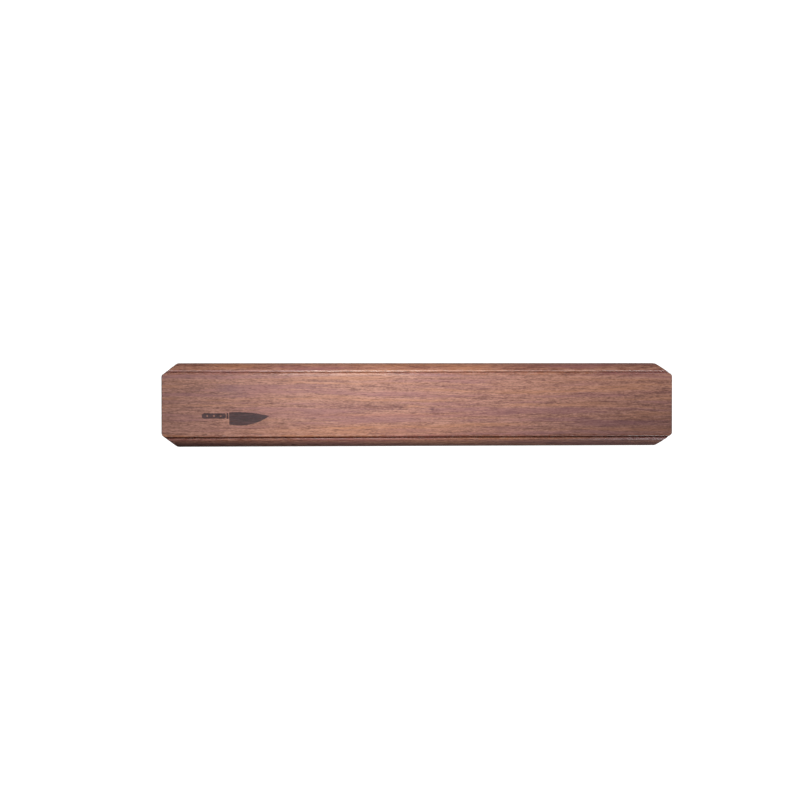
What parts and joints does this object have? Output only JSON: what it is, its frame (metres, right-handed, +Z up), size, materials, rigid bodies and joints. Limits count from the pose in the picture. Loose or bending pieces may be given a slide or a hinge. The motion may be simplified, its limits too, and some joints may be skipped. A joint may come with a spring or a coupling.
{
  "type": "magnetic knife bar",
  "caption": "Wall-mounted walnut bar with cut corners, moulded long edges and two hidden rows of magnets that hold knives by their blades.",
  "frame": {"origin": "centre of the wall plane: the middle of the middle foam pad's outer face, which lies on the wall", "axes": "+X along the bar to the right as seen from the front, +Y into the wall, +Z up; the face that holds the knives looks along -Y"},
  "size_m": [0.4, 0.02, 0.065],
  "materials": {
    "walnut": "oiled, satin, straight grain along the bar",
    "walnut_panel": "sanded, matt",
    "nickel_plate": "nickel plated",
    "plain_steel": "cold rolled, lightly oiled",
    "zinc_plate": "zinc plated",
    "brass": "brass plated",
    "foam": "closed-cell foam, matt"
  },
  "bodies": {
    "root": {"front_bar": "walnut", "back_panel": "walnut_panel", "yoke_upper": "plain_steel", "yoke_lower": "plain_steel", "keyhole_plate_left": "zinc_plate", "keyhole_plate_right": "zinc_plate", "panel_screws": "brass", "plate_screws": "zinc_plate", "foam_pad_left": "foam", "foam_pad_middle": "foam", "foam_pad_right": "foam", "magnet_upper_1": "nickel_plate", "magnet_upper_2": "nickel_plate", "magnet_upper_3": "nickel_plate", "magnet_upper_4": "nickel_plate", "magnet_upper_5": "nickel_plate", "magnet_upper_6": "nickel_plate", "magnet_upper_7": "nickel_plate", "magnet_upper_8": "nickel_plate", "magnet_upper_9": "nickel_plate", "magnet_upper_10": "nickel_plate", "magnet_upper_11": "nickel_plate", "magnet_upper_12": "nickel_plate", "magnet_lower_1": "nickel_plate", "magnet_lower_2": "nickel_plate", "magnet_lower_3": "nickel_plate", "magnet_lower_4": "nickel_plate", "magnet_lower_5": "nickel_plate", "magnet_lower_6": "nickel_plate", "magnet_lower_7": "nickel_plate", "magnet_lower_8": "nickel_plate", "magnet_lower_9": "nickel_plate", "magnet_lower_10": "nickel_plate", "magnet_lower_11": "nickel_plate", "magnet_lower_12": "nickel_plate"}
  },
  "joints": []
}
